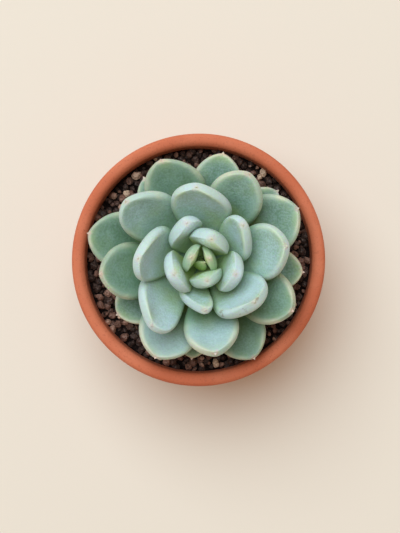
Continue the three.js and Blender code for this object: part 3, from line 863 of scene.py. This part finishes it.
def leaf_mesh(order, leaf, material):
    """One leaf as a closed mesh, with what its skin needs to know at each point."""
    rings, shares = leaf_rings(leaf, order)
    apex = leaf_apex(rings)
    around = len(rings[0])
    points = np.concatenate(rings + [apex[None]])
    faces = [tuple(reversed(range(around)))] + ring_faces(len(rings), around)
    last = (len(rings) - 1) * around
    faces += [(last + i, last + (i + 1) % around, last + around) for i in range(around)]

    left_crest = BELLY_STEPS + EDGE_STEPS
    right_crest = left_crest + FACE_STEPS
    gaps = []
    for corner in (left_crest, right_crest):
        gaps.append(distance_to_line(points, np.array([ring[corner] for ring in rings] + [apex])))
    on_face = (np.arange(around) >= left_crest) & (np.arange(around) <= right_crest)
    on_face = np.append(np.tile(on_face, len(rings)), True)
    facts = {
        "along": np.append(np.repeat(np.minimum(1, shares), around), 1),
        "crest": np.where(on_face, 1, -1) * np.minimum(*gaps),
        "tip": np.linalg.norm(points - apex, axis=1),
        "age": np.full(len(points), order / (len(LEAVES) - 1)),
        "scarred": np.full(len(points), leaf["name"] in SCARRED_LEAVES),
        "thick_bloom_and_painted_light": np.full(len(points), leaf["name"] in THICK_BLOOM_AND_PAINTED_LIGHT),
        "thin_bloom_and_painted_shade": np.full(len(points), leaf["name"] in THIN_BLOOM_AND_PAINTED_SHADE),
    }
    turn = math.radians(FIRST_TURN + GOLDEN_TURN * order + leaf["lean"])
    x = plant_x + points[:, 0] * math.cos(turn) - points[:, 1] * math.sin(turn)
    y = plant_y + points[:, 0] * math.sin(turn) + points[:, 1] * math.cos(turn)
    piece = made_mesh(leaf["name"] + "_flesh", np.stack([x, y, points[:, 2]], 1) * MM, faces, material)
    for key, values in facts.items():
        stored = piece.data.attributes.new(key, "FLOAT", "POINT")
        stored.data.foreach_set("value", values.astype(np.float32))
    return piece


# The skin. Faces go from yellow-green in the heart over pale blue-green to grey-green on the old
# leaves, and to a darker green towards the stem, on the lowest leaves and wherever the wax bloom is
# thin: partly the leaf's own green, partly painted shade. Painted light pales old faces near the
# crest. The band beyond the crest is paler, and yellowish where it is rubbed. Edges and points are
# cream to pink.
FACE_YOUNG = (0.29, 0.46, 0.17)
FACE_MIDDLE = (0.52, 0.71, 0.75)
FACE_OLD = (0.30, 0.455, 0.40)
# Darker greens towards the stem: partly the leaf's own, partly painted shade.
SHADED_DEEP_YOUNG = (0.30, 0.46, 0.05)
SHADED_DEEP_MIDDLE = (0.19, 0.34, 0.15)
SHADED_DEEP_OLD = (0.055, 0.15, 0.045)
BAND_YOUNG = (0.28, 0.46, 0.21)
BAND_MIDDLE = (0.53, 0.685, 0.69)
BAND_OLD = (0.36, 0.53, 0.42)
BAND_RUBBED = (0.50, 0.60, 0.36)
EDGE_GREEN = (0.40, 0.52, 0.14)
EDGE_PALE = (0.64, 0.76, 0.50)
EDGE_CREAM = (0.78, 0.70, 0.52)
BLUSH = (0.80, 0.48, 0.40)
# The thick bloom's colour, partly painted light.
BLOOM_PAINTED_LIGHT_COLOUR = (0.62, 0.80, 0.88)
SCAR = (0.20, 0.13, 0.06)

skin = Finish(
    "waxy_leaf_skin",
    Roughness=0.5,
    Subsurface_Weight=0.2,
    Subsurface_Scale=4 * MM,
    Subsurface_Radius=(0.5, 1.0, 0.3),
    Sheen_Weight=0.15,
    Sheen_Roughness=0.4,
)
# What each point of a leaf tells the skin: its share of the way out, its distance in millimetres
# from the crest, negative beyond it, its distance from the tip, and its leaf's age.
along, crest = skin.attribute("along"), skin.attribute("crest")
tip, age = skin.attribute("tip"), skin.attribute("age")
scarred = skin.attribute("scarred")
thick_bloom_and_painted_light, thin_bloom_and_painted_shade = skin.attribute("thick_bloom_and_painted_light"), skin.attribute("thin_bloom_and_painted_shade")
young = skin.between(0.17, 0.0, age)
heart = skin.between(0.32, 0.12, age)
old = skin.between(0.43, 0.57, age)
oldest = skin.between(0.62, 0.85, age)
rubbed = skin.between(0.30, 0.70, skin.noise(7 * MM, 4, 0.6))
powder = skin.between(0.32, 0.68, skin.noise(0.9 * MM, 3))
patchy = skin.between(0.38, 0.66, skin.noise(11 * MM, 2))
near_tip = skin.between(15, 4, tip)
inner_half = skin.between(0.86, 0.42, along)
blunt_end = skin.between(0.5, 0.82, along)
near_crest = skin.between(4.5, 0.2, crest)

# The face, with the darker green under the bloom showing through, most of all towards the stem, where
# it is partly painted shade.
shaded_deep = skin.mix(old, SHADED_DEEP_MIDDLE, SHADED_DEEP_OLD)
shaded_deep = skin.mix(heart, shaded_deep, SHADED_DEEP_YOUNG)
face = skin.mix(old, FACE_MIDDLE, FACE_OLD)
face = skin.mix(young, face, FACE_YOUNG)
# The bloom's random mottle is the leaf's own; the extra darkening of the lowest leaves, which lie under
# the others, is painted shade.
face = skin.mix((1 - rubbed) * 0.26 + (1 - powder) * 0.3 + oldest * 0.18, face, shaded_deep)
# Darker towards the stem: partly the leaf's own green, partly painted shade where the leaves crowd
# together.
face = skin.mix(inner_half * (0.55 + old * 0.4 + heart * 0.35), face, shaded_deep)
# Painted light: old leaves' faces are painted paler towards the crest, where a rounded face catches
# more light.
painted_light_near_crest = skin.between(5, 0.2, crest) * skin.between(0.3, 0.7, along)
face = skin.mix(painted_light_near_crest * old * 0.5, face, BAND_OLD)
face = skin.mix(patchy * (0.08 + inner_half * 0.25), face, EDGE_GREEN)
face = skin.mix(near_crest * near_tip * patchy * 0.5, face, EDGE_GREEN)

# The band beyond the crest, whose start is softer on older leaves.
band = skin.mix(old, BAND_MIDDLE, BAND_OLD)
band = skin.mix(young, band, BAND_YOUNG)
band = skin.mix((1 - powder) * 0.12 + patchy * 0.26, band, BAND_RUBBED)
softer = skin.between(0.25, 0.5, age)
beyond = skin.between(0.7 + softer * 1.4, -0.9 - softer * 0.6, crest)
colour = skin.mix(beyond * (0.2 + blunt_end * 0.8), face, band)
# Painted shade: the band's sides towards the stem, where the leaves crowd, are darkened to the darker
# green.
colour = skin.mix(beyond * skin.between(0.86, 0.55, along) * 0.75, colour, shaded_deep)

# A thicker bloom on single leaves, partly painted light on leaves that lie in shade, or a thinner one,
# partly painted shade; then the crest's line, the rim, scars and blush.
colour = skin.mix(thick_bloom_and_painted_light * blunt_end * (1 - beyond * 0.8) * 0.33, colour, BLOOM_PAINTED_LIGHT_COLOUR)
# Partly painted shade: the leaves with a thin bloom are darkened towards the darker green.
colour = skin.mix(thin_bloom_and_painted_shade * 0.3, colour, shaded_deep)
line = skin.between(1.1, 0.0, crest * crest)
colour = skin.mix(line * blunt_end * (1 - old) * (0.08 + patchy * 0.35), colour, EDGE_PALE)
rim = skin.between(1.5, -0.2, crest) * skin.between(27, 8, tip) * old
colour = skin.mix(rim * (0.12 + patchy * 0.45), colour, EDGE_CREAM)
scars = skin.between(0.60, 0.70, skin.noise(3.2 * MM, 3, 0.6)) * skin.between(2.5, -0.5, crest)
colour = skin.mix(scars * scarred * 0.5, colour, SCAR)
blush = skin.between(4.8, 1.3, tip + skin.noise(1.3 * MM, 2) * 3)
colour = skin.mix(blush * (0.36 + old * 0.34), colour, BLUSH)
skin.set("Base Color", colour)
skin.set("Roughness", 0.42 + powder * 0.12 + old * 0.06)
skin.bump(powder * 0.5 + rubbed * 0.5 + skin.noise(3 * MM, 2) * 0.9, 0.14 * MM)

for order, row in enumerate(LEAVES):
    leaf = dict(zip(FIELDS, row))
    piece = leaf_mesh(order, leaf, skin.material)
    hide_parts(leaf["name"])
    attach(piece, "root")
